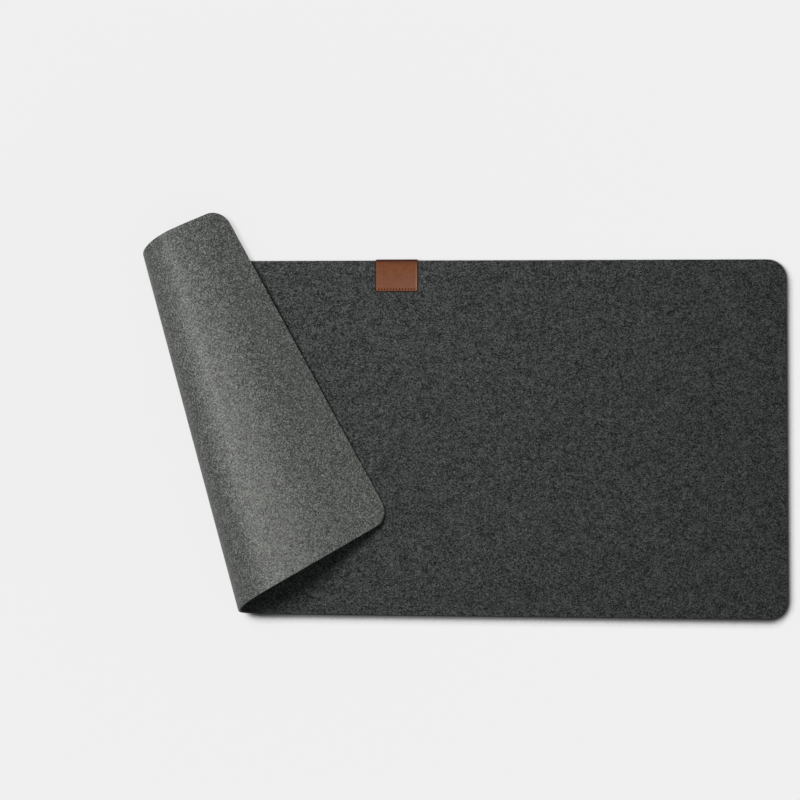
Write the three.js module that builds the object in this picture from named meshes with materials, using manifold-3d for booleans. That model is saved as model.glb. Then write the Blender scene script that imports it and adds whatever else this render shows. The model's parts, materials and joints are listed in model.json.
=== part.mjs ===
// Felt desk pad with its left end folded over: two felts bonded back to back, and a leather tag sewn over
// the far edge. Millimetres, +Z up. The origin is the centre of the unfolded pad, on its underside.
//
// The pad is cut flat, then bent along a fan of straight lines. Between two bend lines the felt stays flat,
// so each stretch is a thin slab with sides mitred to half the bend. Every bend turns about its own line on
// the underside, which is the outside of the fold, so laying the pad flat opens the mitres.
import * as THREE from 'three';
import { mergeVertices } from 'three/addons/utils/BufferGeometryUtils.js';
import Module from 'manifold-3d';

// Pad, laid flat
const padLength = 900;
const padDepth = 420;
const topFelt = 1.85;
const baseFelt = 1.85;
const bondLine = 0.3; // left open between the two felts
const cornerRadius = 21;

// Fold, measured from the pad's left edge along its near and its far edge
const bendCount = 10;
const foldStartNear = 281.5;
const foldStartFar = 155.5;
const rollNear = 136; // felt taken up by the bends
const rollFar = 89;
const stripWidening = 4.2; // width of the last strip over the first
const mitreGap = 0.3;
const restGap = 0.4; // under the flap's lowest corner
const tightestTurn = 180; // degrees, all bends together, with the flap level
const widestTurn = 250;

// Leather tag, folded over the far edge
const tagWidth = 49.2;
const tagDrop = 36.5; // from the felt's edge to the end of each leaf
const tagOffset = -6.4; // from the middle of the pad
const leather = 1.0;
const tagEdgeGap = 0.4; // between the felt's edge and the inside of the fold
const tagFoldRadius = 1.6;
const pocketGap = 0.4; // round the back leaf

// Lockstitch along the tag's lower edge
const stitchHoles = 13;
const stitchPitch = 3.52;
const stitchInset = 2.4; // from the end of the leaf
const threadDiameter = 0.5;
const threadGap = 0.1; // between a stitch and the leather that it lies on
const needleHole = 1.2;
const knotGap = 0.3; // between the needle thread and the bobbin thread

// Heights
const padThickness = baseFelt + bondLine + topFelt;
const topFeltLow = baseFelt + bondLine;
const threadRadius = threadDiameter / 2;
const backLeafLow = threadDiameter + 2 * threadGap;
const backLeafHigh = backLeafLow + leather;
const frontLeafHigh = padThickness + leather;

const nearY = -padDepth / 2;
const farY = padDepth / 2;
const leftX = -padLength / 2;
const rightX = padLength / 2;

const cornerSegments = 8;
const holeSides = 8;
const threadSides = 6;

const charcoalFelt = { color: 0x37393a, roughness: 0.95, metalness: 0 };
const greyFelt = { color: 0x5e6160, roughness: 0.95, metalness: 0 };
const brownLeather = { color: 0x744c3a, roughness: 0.6, metalness: 0 };
const brownThread = { color: 0x4a241c, roughness: 0.7, metalness: 0 };

const wasm = await Module();
wasm.setup();

function makeMesh(name, geometry, finish) {
  const mesh = new THREE.Mesh(geometry, new THREE.MeshStandardMaterial(finish));
  mesh.name = name;
  return mesh;
}

function toSolid(geometry) {
  const bare = geometry.clone();
  bare.deleteAttribute('normal');
  bare.deleteAttribute('uv');
  const merged = mergeVertices(bare);
  return new wasm.Manifold(new wasm.Mesh({
    numProp: 3,
    vertProperties: new Float32Array(merged.attributes.position.array),
    triVerts: new Uint32Array(merged.index.array),
  }));
}

function toGeometry(solid) {
  const mesh = solid.getMesh();
  const geometry = new THREE.BufferGeometry();
  geometry.setAttribute('position', new THREE.BufferAttribute(new Float32Array(mesh.vertProperties), 3));
  geometry.setIndex(new THREE.BufferAttribute(new Uint32Array(mesh.triVerts), 1));
  geometry.computeVertexNormals();
  return geometry;
}

function cut(geometry, tools) {
  return toGeometry(tools.reduce((solid, tool) => solid.subtract(toSolid(tool)), toSolid(geometry)));
}

function join(pieces) {
  return toGeometry(pieces.map(toSolid).reduce((whole, piece) => whole.add(piece)));
}

// The strips widen steadily from the first bend to the last, so the curl opens out towards the flap.
function bendLine(index) {
  const stripCount = bendCount - 1;
  const share = (strip) => 1 + (stripWidening - 1) * strip / Math.max(stripCount - 1, 1);
  let passed = 0;
  let whole = 0;
  for (let strip = 0; strip < stripCount; strip += 1) {
    whole += share(strip);
    passed += strip < index ? share(strip) : 0;
  }
  const near = new THREE.Vector3(leftX + foldStartNear - rollNear * passed / whole, nearY, 0);
  const far = new THREE.Vector3(leftX + foldStartFar - rollFar * passed / whole, farY, 0);
  return { near, far, direction: far.clone().sub(near).normalize() };
}

// Where a bend line, moved sideways by an inset, meets the near and the far edge.
function lineEnds(line, inset) {
  const shift = inset / line.direction.y;
  return [line.near.x + shift, line.far.x + shift];
}

// One stretch of the flat pad at one height: 0 is the main part, bendCount the flap, the rest the strips.
function sectionOutline(section, height, bend) {
  const inset = mitreGap / 2 + height * Math.tan(bend / 2);
  const outline = new THREE.Shape();
  if (section < bendCount) {
    const [nearX, farX] = lineEnds(bendLine(section), inset);
    outline.moveTo(farX, farY);
    outline.lineTo(nearX, nearY);
  } else {
    outline.absarc(leftX + cornerRadius, farY - cornerRadius, cornerRadius, Math.PI / 2, Math.PI);
    outline.absarc(leftX + cornerRadius, nearY + cornerRadius, cornerRadius, Math.PI, Math.PI * 1.5);
  }
  if (section > 0) {
    const [nearX, farX] = lineEnds(bendLine(section - 1), -inset);
    outline.lineTo(nearX, nearY);
    outline.lineTo(farX, farY);
  } else {
    outline.absarc(rightX - cornerRadius, nearY + cornerRadius, cornerRadius, Math.PI * 1.5, Math.PI * 2);
    outline.absarc(rightX - cornerRadius, farY - cornerRadius, cornerRadius, 0, Math.PI / 2);
  }
  const points = outline.extractPoints(cornerSegments).shape;
  return points.filter((point, i) => i === 0 || point.distanceTo(points[i - 1]) > mitreGap / 10);
}

// A closed slab between two outlines with as many points each.
function loftSlab(lowOutline, highOutline, lowZ, highZ) {
  const count = lowOutline.length;
  const positions = [];
  lowOutline.forEach((point) => positions.push(point.x, point.y, lowZ));
  highOutline.forEach((point) => positions.push(point.x, point.y, highZ));
  const faces = [];
  THREE.ShapeUtils.triangulateShape(lowOutline, []).forEach(([a, b, c]) => {
    faces.push(c, b, a, a + count, b + count, c + count);
  });
  for (let i = 0; i < count; i += 1) {
    const next = (i + 1) % count;
    faces.push(i, next, next + count, i, next + count, i + count);
  }
  const geometry = new THREE.BufferGeometry();
  geometry.setAttribute('position', new THREE.Float32BufferAttribute(positions, 3));
  geometry.setIndex(faces);
  geometry.computeVertexNormals();
  return geometry;
}

function feltSlab(section, lowZ, highZ, bend) {
  return loftSlab(sectionOutline(section, lowZ, bend), sectionOutline(section, highZ, bend), lowZ, highZ);
}

// Height left under the flap's lowest point over the pad when every bend turns by the same angle.
function flapClearance(bend) {
  const fold = new THREE.Matrix4();
  for (let index = 0; index < bendCount; index += 1) {
    const line = bendLine(index);
    fold.multiply(new THREE.Matrix4().makeTranslation(line.near));
    fold.multiply(new THREE.Matrix4().makeRotationAxis(line.direction, bend));
    fold.multiply(new THREE.Matrix4().makeTranslation(line.near.clone().negate()));
  }
  const heights = sectionOutline(bendCount, padThickness, bend)
    .map((point) => new THREE.Vector3(point.x, point.y, padThickness).applyMatrix4(fold))
    .filter((point) => point.y < farY && point.y > nearY)
    .map((point) => point.z);
  return Math.min(...heights) - padThickness - restGap;
}

// The curl closes until the flap comes to rest on the pad.
function restingBend() {
  let open = THREE.MathUtils.degToRad(tightestTurn) / bendCount;
  let closed = THREE.MathUtils.degToRad(widestTurn) / bendCount;
  for (let step = 0; step < 40; step += 1) {
    const middle = (open + closed) / 2;
    if (flapClearance(middle) > 0) {
      open = middle;
    } else {
      closed = middle;
    }
  }
  return open;
}

// Needle holes: one row through both leaves of the tag and the felt between them.
const stitchY = farY - tagDrop + stitchInset;
const holeX = Array.from({ length: stitchHoles }, (_, i) => tagOffset + (i - (stitchHoles - 1) / 2) * stitchPitch);
const holeDepth = frontLeafHigh + 2 * leather;

function needleHoles() {
  return holeX.map((x) => new THREE.CylinderGeometry(needleHole / 2, needleHole / 2, holeDepth, holeSides)
    .rotateX(Math.PI / 2)
    .translate(x, stitchY, frontLeafHigh / 2));
}

// The felt is squeezed thin over the back leaf, which lies flush in the underside.
function backLeafPocket() {
  const width = tagWidth + 2 * pocketGap;
  const run = tagDrop + pocketGap;
  return new THREE.BoxGeometry(width, 2 * run, 2 * backLeafHigh).translate(tagOffset, farY, 0);
}

// One strip of leather, bent over the edge: its section is drawn in Y and Z and drawn out along X.
function tagGeometry() {
  const leafEnd = farY - tagDrop;
  const foldInside = farY + tagEdgeGap;
  const foldOutside = foldInside + leather;
  const radius = Math.min(tagFoldRadius, (frontLeafHigh - backLeafLow) / 2);
  const section = new THREE.Shape();
  section.moveTo(leafEnd, backLeafLow);
  section.absarc(foldOutside - radius, backLeafLow + radius, radius, -Math.PI / 2, 0);
  section.absarc(foldOutside - radius, frontLeafHigh - radius, radius, 0, Math.PI / 2);
  section.lineTo(leafEnd, frontLeafHigh);
  section.lineTo(leafEnd, padThickness);
  section.lineTo(foldInside, padThickness);
  section.lineTo(foldInside, backLeafHigh);
  section.lineTo(leafEnd, backLeafHigh);
  const strip = new THREE.ExtrudeGeometry(section, {
    depth: tagWidth, bevelEnabled: false, curveSegments: cornerSegments,
  });
  const sectionToPad = new THREE.Matrix4().makeBasis(
    new THREE.Vector3(0, 1, 0), new THREE.Vector3(0, 0, 1), new THREE.Vector3(1, 0, 0));
  return cut(strip.applyMatrix4(sectionToPad).translate(tagOffset - tagWidth / 2, 0, 0), needleHoles());
}

// A thread: low arches from hole to hole on one face, and a leg down each hole to the knot inside the felt.
function threadGeometry(faceZ, knotZ) {
  const away = Math.sign(faceZ - knotZ);
  const runZ = faceZ + away * (threadGap + threadRadius);
  const ring = new THREE.Shape();
  ring.absarc(0, 0, threadRadius, 0, Math.PI * 2);
  const stitches = holeX.slice(1).map((x, i) => {
    const start = new THREE.Vector3(holeX[i], stitchY, runZ);
    const end = new THREE.Vector3(x, stitchY, runZ);
    return new THREE.ExtrudeGeometry(ring, {
      steps: 1, curveSegments: threadSides / 2, extrudePath: new THREE.LineCurve3(start, end),
    });
  });
  const legs = holeX.map((x) => {
    const length = Math.abs(runZ - knotZ) + threadRadius;
    const middle = (runZ + away * threadRadius + knotZ) / 2;
    return new THREE.CylinderGeometry(threadRadius, threadRadius, length, threadSides)
      .rotateX(Math.PI / 2)
      .translate(x, stitchY, middle);
  });
  return join([...stitches, ...legs]);
}

const bend = restingBend();
const pad = new THREE.Group();

const knotZ = (frontLeafHigh + backLeafLow) / 2;
pad.add(makeMesh('top_felt_main', cut(feltSlab(0, topFeltLow, padThickness, bend), needleHoles()), charcoalFelt));
pad.add(makeMesh('base_felt_main',
  cut(feltSlab(0, 0, baseFelt, bend), [backLeafPocket(), ...needleHoles()]), greyFelt));
pad.add(makeMesh('leather_tag', tagGeometry(), brownLeather));
pad.add(makeMesh('needle_thread', threadGeometry(frontLeafHigh, knotZ + knotGap / 2), brownThread));
pad.add(makeMesh('bobbin_thread', threadGeometry(backLeafLow, knotZ - knotGap / 2), brownThread));

// Each bend carries the next strip, and the last one the flap.
let carrier = pad;
let carrierPoint = new THREE.Vector3();
for (let section = 1; section <= bendCount; section += 1) {
  const line = bendLine(section - 1);
  const turned = new THREE.Group();
  turned.position.copy(line.near).sub(carrierPoint);
  turned.quaternion.setFromAxisAngle(line.direction, bend);
  const label = section < bendCount ? `strip_${section}` : 'flap';
  const top = makeMesh(`top_felt_${label}`, feltSlab(section, topFeltLow, padThickness, bend), charcoalFelt);
  const base = makeMesh(`base_felt_${label}`, feltSlab(section, 0, baseFelt, bend), greyFelt);
  [top, base].forEach((layer) => layer.position.copy(line.near).negate());
  turned.add(top, base);
  carrier.add(turned);
  carrier = turned;
  carrierPoint = line.near;
}

export default pad;
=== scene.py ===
# %% [markdown]
# # A felt desk pad with one end folded over
#
# The pad is two sheets of pressed wool felt, charcoal on top and grey below, bonded into one sheet
# 4 mm thick. Its left end is folded over on a slant, so the grey side shows, and a small leather tag
# is sewn over the far edge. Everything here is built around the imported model, which is loaded first
# and never moved: it says where the sheet lies, where it bends and where the tag sits.

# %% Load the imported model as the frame
import json
import math

import bpy
import numpy as np
from mathutils import Matrix, Vector, noise

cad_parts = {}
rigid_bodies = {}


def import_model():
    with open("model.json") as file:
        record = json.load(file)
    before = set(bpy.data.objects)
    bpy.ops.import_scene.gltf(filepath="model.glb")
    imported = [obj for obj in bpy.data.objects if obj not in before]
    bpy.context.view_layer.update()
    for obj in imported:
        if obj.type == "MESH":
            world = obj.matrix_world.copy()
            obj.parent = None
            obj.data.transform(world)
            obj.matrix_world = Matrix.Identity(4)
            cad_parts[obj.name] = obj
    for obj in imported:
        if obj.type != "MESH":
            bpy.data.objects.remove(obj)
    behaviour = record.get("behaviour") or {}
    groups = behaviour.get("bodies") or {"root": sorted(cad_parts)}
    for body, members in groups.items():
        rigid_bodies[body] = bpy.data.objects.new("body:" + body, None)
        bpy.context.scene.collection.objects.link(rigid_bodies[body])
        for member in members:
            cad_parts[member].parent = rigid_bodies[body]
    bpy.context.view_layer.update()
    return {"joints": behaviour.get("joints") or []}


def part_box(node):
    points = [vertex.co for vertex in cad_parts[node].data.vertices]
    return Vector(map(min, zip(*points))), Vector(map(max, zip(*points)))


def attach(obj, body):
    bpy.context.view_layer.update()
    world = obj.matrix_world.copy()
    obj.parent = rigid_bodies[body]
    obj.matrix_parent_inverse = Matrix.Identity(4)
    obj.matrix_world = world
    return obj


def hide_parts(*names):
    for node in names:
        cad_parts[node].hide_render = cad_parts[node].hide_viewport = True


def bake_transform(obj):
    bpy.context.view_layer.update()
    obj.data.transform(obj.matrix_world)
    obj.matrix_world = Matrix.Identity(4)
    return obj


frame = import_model()
scene = bpy.context.scene
MM = 0.001


def put_in_scene(name, data):
    """A new object in the scene that holds a camera, a lamp, a mesh or a curve."""
    made = bpy.data.objects.new(name, data)
    scene.collection.objects.link(made)
    return made


# %% [markdown]
# ## Camera
#
# The pad is seen from almost straight above, as a product is laid out on a table. A Track To
# constraint could aim the camera, but it leans by a degree or two, so its place and its three turns
# are given, fitted until the pad's edges fell where they should.

# %% Camera above the pad
CAMERA_PLACE = (0.0670, -0.0002, 1.4246)
CAMERA_TURN_DEGREES = (1.786, 2.768, 0.220)
LENS_MM = 54
SENSOR_MM = 36
NEAREST_SEEN = 0.01

camera_data = bpy.data.cameras.new("camera")
camera_data.lens = LENS_MM
camera_data.sensor_width = SENSOR_MM
camera_data.clip_start = NEAREST_SEEN
camera = put_in_scene("camera", camera_data)
camera.location = CAMERA_PLACE
camera.rotation_euler = [math.radians(turn) for turn in CAMERA_TURN_DEGREES]
scene.camera = camera
scene.view_settings.view_transform = "Standard"
print("camera:", LENS_MM, "mm lens,", round(CAMERA_PLACE[2], 3), "m above the table")

# %% [markdown]
# ## Shader nodes
#
# Every finish below is a tree of shader nodes. By hand they are added one by one and joined by
# dragging from socket to socket. These helpers take one line for each node, so a finish reads from top
# to bottom. In the editor the nodes stand in one row, in the order they were made.

# %% Helpers for shader nodes
NODE_STEP = 200


def feed(tree, socket, value):
    """Links another socket to this one, or sets it to a value."""
    if isinstance(value, bpy.types.NodeSocket):
        tree.links.new(value, socket)
    else:
        socket.default_value = value


def add_node(tree, kind, **values):
    """Adds a shader node. The values feed its inputs by name, with _ for a space, or are its settings."""
    made = tree.nodes.new(kind)
    made.location.x = NODE_STEP * len(tree.nodes)
    for name, value in values.items():
        socket = made.inputs.get(name.replace("_", " "))
        if socket is None:
            setattr(made, name, value)
        else:
            feed(tree, socket, value)
    return made


def add_math(tree, operation, first, second, clamp=False):
    """Adds a Math node; first and second are sockets or numbers. Returns its output socket."""
    made = add_node(tree, "ShaderNodeMath", operation=operation, use_clamp=clamp)
    feed(tree, made.inputs[0], first)
    feed(tree, made.inputs[1], second)
    return made.outputs[0]


def add_vector_math(tree, operation, *values):
    """Adds a Vector Math node; the values are sockets or vectors, in the order of its inputs."""
    made = add_node(tree, "ShaderNodeVectorMath", operation=operation)
    for socket, value in zip(made.inputs, values):
        feed(tree, socket, value)
    return made


def add_mix(tree, share, first, second, blend="MIX"):
    """Adds a colour Mix node; each argument is a socket or a value. Returns its colour socket."""
    made = add_node(tree, "ShaderNodeMix", data_type="RGBA", blend_type=blend)
    for socket, value in ((made.inputs[0], share), (made.inputs[6], first), (made.inputs[7], second)):
        feed(tree, socket, value)
    return made.outputs[2]


def add_range(tree, value, low, high, to_low=0.0, to_high=1.0):
    """Adds a smooth Map Range node from low..high to to_low..to_high. Returns its output socket."""
    made = add_node(tree, "ShaderNodeMapRange", interpolation_type="SMOOTHSTEP", Value=value,
                    From_Min=low, From_Max=high, To_Min=to_low, To_Max=to_high)
    return made.outputs["Result"]


def seen_directly(tree):
    """1 for what the camera sees, straight or in a reflection, and 0 for light on its way."""
    path = add_node(tree, "ShaderNodeLightPath")
    return add_math(tree, "MAXIMUM", path.outputs["Is Camera Ray"], path.outputs["Is Glossy Ray"])


def add_surface(tree, height, strength, depth, **values):
    """Adds a Principled shader with bumps from a height, and links it to the material's output."""
    bump = add_node(tree, "ShaderNodeBump", Strength=strength, Distance=depth, Height=height)
    shader = add_node(tree, "ShaderNodeBsdfPrincipled", Normal=bump.outputs["Normal"], **values)
    add_node(tree, "ShaderNodeOutputMaterial", Surface=shader.outputs[0])


def new_material(name):
    """A material with an empty node tree. Returns the material and its tree."""
    made = bpy.data.materials.new(name)
    made.use_nodes = True
    made.node_tree.nodes.clear()
    return made, made.node_tree


print("helpers ready")

# %% [markdown]
# ## Lamp and room
#
# The light comes from one soft lamp to the far left, fairly near, and from an even white room. A sun
# would light both ends of the pad alike, so the lamp is an area light. What is seen of the room is kept
# apart from the light that it sheds, so it can be pale without washing out the dark felt.

# %% Lamp and room light
LAMP_PLACE = Vector((-0.40, 0.28, 1.10))
LAMP_AIM = Vector((0.0, 0.0, 0.0))
LAMP_SIDE = 0.36
LAMP_WATTS = 11.3
ROOM_STRENGTH = 0.22
BACKGROUND_GREY = 0.870
WHITE = (1, 1, 1, 1)

lamp_data = bpy.data.lights.new("lamp", "AREA")
lamp_data.shape = "SQUARE"
lamp_data.size = LAMP_SIDE
lamp_data.energy = LAMP_WATTS
lamp = put_in_scene("lamp", lamp_data)
lamp.location = LAMP_PLACE
lamp.rotation_euler = (LAMP_AIM - LAMP_PLACE).to_track_quat("-Z", "Y").to_euler()

room = bpy.data.worlds.new("room")
room.use_nodes = True
tree = room.node_tree
tree.nodes.clear()
room_mix = add_node(tree, "ShaderNodeMixShader", Fac=seen_directly(tree))
for socket, strength in zip(room_mix.inputs[1:], (ROOM_STRENGTH, BACKGROUND_GREY)):
    light = add_node(tree, "ShaderNodeBackground", Color=WHITE, Strength=strength)
    feed(tree, socket, light.outputs[0])
add_node(tree, "ShaderNodeOutputWorld", Surface=room_mix.outputs[0])
scene.world = room
print("lamp of", LAMP_WATTS, "W at", tuple(round(c, 2) for c in LAMP_PLACE))

# %% [markdown]
# ## Table
#
# The table looks the same pale grey all over, although one lamp alone would leave it brighter on the
# lamp's side. So to the camera it also glows, by just what the lamp's fall-off takes away. That could
# be painted by eye, but it is a short formula: how straight the lamp faces a spot, over the fourth
# power of the distance.

# %% Table that glows where the lamp falls off
TABLE_SIDE = 12.0
TABLE_GREY = 0.25

bpy.ops.object.select_all(action="DESELECT")
bpy.ops.mesh.primitive_plane_add(size=TABLE_SIDE, location=(0, 0, 0))
floor = bpy.context.active_object
floor.name = "floor"
pale_table, tree = new_material("pale_table")
floor.data.materials.append(pale_table)

place = add_node(tree, "ShaderNodeTexCoord").outputs["Object"]
to_lamp = add_vector_math(tree, "SUBTRACT", LAMP_PLACE, place).outputs["Vector"]
distance = add_vector_math(tree, "LENGTH", to_lamp).outputs["Value"]
lamp_faces = (LAMP_PLACE - LAMP_AIM).normalized()
facing = add_vector_math(tree, "DOT_PRODUCT", to_lamp, lamp_faces).outputs["Value"]
spread = add_math(tree, "DIVIDE", facing, add_math(tree, "POWER", distance, 4.0))
lit = add_math(tree, "MULTIPLY", spread, LAMP_WATTS * LAMP_PLACE.z / math.pi ** 2 * TABLE_GREY)
missing = add_math(tree, "SUBTRACT", BACKGROUND_GREY - ROOM_STRENGTH * TABLE_GREY, lit)
print("table", TABLE_SIDE, "m wide, seen as a grey of", BACKGROUND_GREY)

# %% [markdown]
# ## Shadow on the table
#
# Round the pad the table darkens in a narrow, soft band, widest on the near and right sides. A smaller
# lamp would draw one too, but harden every other shadow. An Ambient Occlusion node measures how open
# the space above a spot is. Its normal leans to the far left, so it finds the pad from the side away
# from the lamp. It dims the glow and, less, the table's own colour.

# %% Soft shadow and finish of the table
SHADE_REACH = 14 * MM
SHADE_FROM = (-0.49, 0.59, 0.64)
SHADE_DARKEST, SHADE_LIGHTEST = 0.64, 0.89     # openness that counts as full shadow, and as none
SHADE_CURVE = 2.0
CONTACT_GREY = 0.62                            # what full shadow leaves of the table's own colour

lean = add_node(tree, "ShaderNodeCombineXYZ")
for socket, value in zip(lean.inputs, SHADE_FROM):
    feed(tree, socket, value)
open_sky = add_node(tree, "ShaderNodeAmbientOcclusion", Distance=SHADE_REACH, Normal=lean.outputs["Vector"])
above_dark = add_math(tree, "SUBTRACT", open_sky.outputs["AO"], SHADE_DARKEST)
open_part = add_math(tree, "DIVIDE", above_dark, SHADE_LIGHTEST - SHADE_DARKEST, clamp=True)
open_share = add_math(tree, "POWER", open_part, SHADE_CURVE)
shaded_glow = add_math(tree, "MULTIPLY", missing, open_share)
glow_seen = add_math(tree, "MULTIPLY", shaded_glow, seen_directly(tree))
shaded_grey = add_math(tree, "MULTIPLY", open_share, TABLE_GREY * (1 - CONTACT_GREY))
table_grey = add_math(tree, "ADD", shaded_grey, TABLE_GREY * CONTACT_GREY)
both = add_node(tree, "ShaderNodeAddShader")
feed(tree, both.inputs[0], add_node(tree, "ShaderNodeBsdfDiffuse", Color=table_grey).outputs[0])
feed(tree, both.inputs[1], add_node(tree, "ShaderNodeEmission", Strength=glow_seen).outputs[0])
add_node(tree, "ShaderNodeOutputMaterial", Surface=both.outputs[0])
print("shadow reaches", round(SHADE_REACH / MM), "mm out from the pad")

# %% [markdown]
# ## How the sheet is folded
#
# A felt sheet can't stretch, so where it is folded it curls along straight lines, and on a slanted
# fold those lines spread like a fan. A Simple Deform modifier bends about one straight axis only, so
# the fold is worked out instead. The frame's hinges lie on ten of the fan's lines, and each tells how
# far the sheet turns there, so the flat sheet is found by turning everything back, one hinge at a
# time. One more line on each side lets the curl ease out.

# %% Read the bend lines and lay out the flat sheet
LEAD_IN = 2.0     # how far the curl eases into the flat part, in widths of the first strip
LEAD_OUT = 4.0    # and into the flap, in widths of the last strip

BENDS = len(frame["joints"])
HALF_LENGTH, HALF_DEPTH, THICKNESS = Vector(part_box("top_felt_main")[1])


def turn_about(point, axis, angle):
    """The matrix of a turn about the line through point along axis."""
    return Matrix.Translation(point) @ Matrix.Rotation(angle, 4, axis) @ Matrix.Translation(-point)


near_x, far_x = [], []               # where the bend lines cross the near and far edges, laid flat
near_corner, far_corner = [], []     # the same points on the folded pad
edges = ((-HALF_DEPTH, near_x, near_corner), (HALF_DEPTH, far_x, far_corner))
fold = Matrix.Identity(4)
for joint in frame["joints"]:
    point = Vector(joint["pos_m"])
    axis = Vector(joint["axis"])
    flat_point = fold.inverted() @ point
    flat_axis = fold.inverted().to_3x3() @ axis
    for edge_y, edge_x, corners in edges:
        crossing = flat_point + flat_axis * ((edge_y - flat_point.y) / flat_axis.y)
        edge_x.append(crossing.x)
        corners.append(fold @ crossing)
    fold = turn_about(point, axis, -math.radians(joint["range_deg"][1])) @ fold

for edge_y, edge_x, corners in edges:
    edge_x.insert(0, edge_x[0] + LEAD_IN * (edge_x[0] - edge_x[1]))
    edge_x.append(edge_x[-1] - LEAD_OUT * (edge_x[-2] - edge_x[-1]))
    corners.insert(0, Vector((edge_x[0], edge_y, 0)))
    corners.append(fold @ Vector((edge_x[-1], edge_y, 0)))
flap_fold = np.array(fold)
near_x, far_x, near_corner, far_corner = map(np.array, (near_x, far_x, near_corner, far_corner))
print("flat sheet", round(2 * HALF_LENGTH / MM), "x", round(2 * HALF_DEPTH / MM), "mm, curl starts at",
      np.round(near_x[1] / MM), "mm near and", np.round(far_x[1] / MM), "mm far")

# %% [markdown]
# ## A smooth curl
#
# Turned about ten hinges, the sheet would have ten creases. Subdivision would soften them, but shrink
# the edges too. So a curve is drawn with the bend lines as its control points, a quadratic B-spline, as
# in many drawing programs. It touches each strip at its middle, and from one middle to the next it is
# a plain quadratic curve, so a point's place and the sheet's normal there are short formulas.

# %% Fold points of the flat sheet
def share_across(y):
    """How far across the pad each y lies, from 0 at the near edge to 1 at the far one."""
    return (y + HALF_DEPTH) / (2 * HALF_DEPTH)


def strip_lines(y):
    """For each y, the x of every bend line, and of every strip's middle from the flat part to the flap."""
    lines = near_x[:, None] + (far_x - near_x)[:, None] * share_across(y)
    return lines, (lines[:-1] + lines[1:]) / 2


def quadratic(step, first, middle, last):
    """The point at a step from 0 to 1 on the quadratic curve with these three control points."""
    return (1 - step) ** 2 * first + 2 * step * (1 - step) * middle + step ** 2 * last


def from_middle_to_middle(lines):
    """The control points of the curve's piece about the second of three lines."""
    return (lines[0] + lines[1]) / 2, lines[1], (lines[1] + lines[2]) / 2


def lay(x, y, height):
    """Folds points of the flat sheet. The height is measured up from the grey face.
    Returns their places and the sheet's normals there, towards the charcoal side."""
    lines, middles = strip_lines(y)
    stretch = np.sum(x < middles, axis=0)
    place = np.stack((x, y, np.zeros_like(x)), axis=1)
    normal = np.tile((0.0, 0.0, 1.0), (len(x), 1))
    on_flap = stretch == BENDS + 1
    place[on_flap] = place[on_flap] @ flap_fold[:3, :3].T + flap_fold[:3, 3]
    normal[on_flap] = flap_fold[:3, 2]
    for bend in range(1, BENDS + 1):
        here = np.flatnonzero(stretch == bend)
        start, control, end = middles[bend - 1, here], lines[bend, here], middles[bend, here]
        square = start - 2 * control + end
        slope = 2 * (control - start)
        rest = start - x[here]
        step = (2 * rest / (-slope + np.sqrt(slope ** 2 - 4 * square * rest)))[:, None]
        near = near_corner[bend - 1:bend + 2]
        rays = far_corner[bend - 1:bend + 2] - near
        points = from_middle_to_middle(near[:, None] + rays[:, None] * share_across(y)[here][None, :, None])
        place[here] = quadratic(step, *points)
        along = (1 - step) * (points[1] - points[0]) + step * (points[2] - points[1])
        up = np.cross(quadratic(step, *from_middle_to_middle(rays)), along)
        normal[here] = up / np.linalg.norm(up, axis=1, keepdims=True)
    return place + normal * height[:, None], normal


STEPS = 200
crown = lay(np.linspace(near_x[-1], near_x[0], STEPS), np.full(STEPS, -HALF_DEPTH), np.zeros(STEPS))[0]
print("the curl stands", round(crown[:, 2].max() / MM, 1), "mm high at the near edge")

# %% [markdown]
# ## Felt sheets
#
# Each felt is one sheet 2 mm thick with round corners. A flat one could be a plane with Solidify and
# Bevel, but this one follows the curl, so its points are computed: a grid on the flat sheet, folded by
# the function above. It is made in ten stretches, one for each hinge, cut along the middles of the
# strips. Rows and columns crowd in the corners, and a few run along the tag, where the grey felt has a
# pocket.

# %% Rows and columns of the sheets
CORNER_RADIUS = 21 * MM
CORNER_STEPS = 10
EDGE_ROUND = 0.6 * MM
ROW_STEP = 7 * MM
SAME_ROW_DIGITS = 7
FLAT_LINE = -0.12                                         # columns stand straight to the right of it
END_ZONE = HALF_LENGTH - CORNER_RADIUS - 9 * MM           # past it they follow the round corners
END_COLUMNS, LEAD_COLUMNS, FLAP_COLUMNS = 6, 8, 10
FIRST_COLUMNS, CURL_COLUMNS, LAST_COLUMNS = 10, 9, 18     # in the curl: first, inner and last stretch
POCKET_GAP = 0.4 * MM
POCKET_WALL = 0.3 * MM
TAG_SHADOW_WIDTH = 1.7 * MM                                  # width of the painted shadow beside the tag

tag_low, tag_high = (Vector(corner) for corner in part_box("leather_tag"))
pocket_x = (tag_low.x - POCKET_GAP, tag_high.x + POCKET_GAP)
pocket_y = tag_low.y - POCKET_GAP
beside_pocket = (0, POCKET_WALL, TAG_SHADOW_WIDTH)

corner_turns = np.radians(np.linspace(0, 90, CORNER_STEPS + 1))
corner_rows = HALF_DEPTH - CORNER_RADIUS + (CORNER_RADIUS - EDGE_ROUND) * np.sin(corner_turns)
inner_count = round(2 * corner_rows[0] / ROW_STEP) + 1
inner_rows = np.linspace(-corner_rows[0], corner_rows[0], inner_count)[1:-1]
pocket_rows = [pocket_y - gap for gap in beside_pocket]
all_rows = np.concatenate((-corner_rows, inner_rows, corner_rows, pocket_rows))
rows = np.unique(np.round(all_rows, SAME_ROW_DIGITS))


def corner_reach(y):
    """How far each row lies into the round corners, as the sine and cosine of the turn there."""
    sine = np.clip(np.abs(y) - (HALF_DEPTH - CORNER_RADIUS), 0, None) / (CORNER_RADIUS - EDGE_ROUND)
    sine = np.clip(sine, 0, 1)
    return sine, np.sqrt(1 - sine ** 2)


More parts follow.
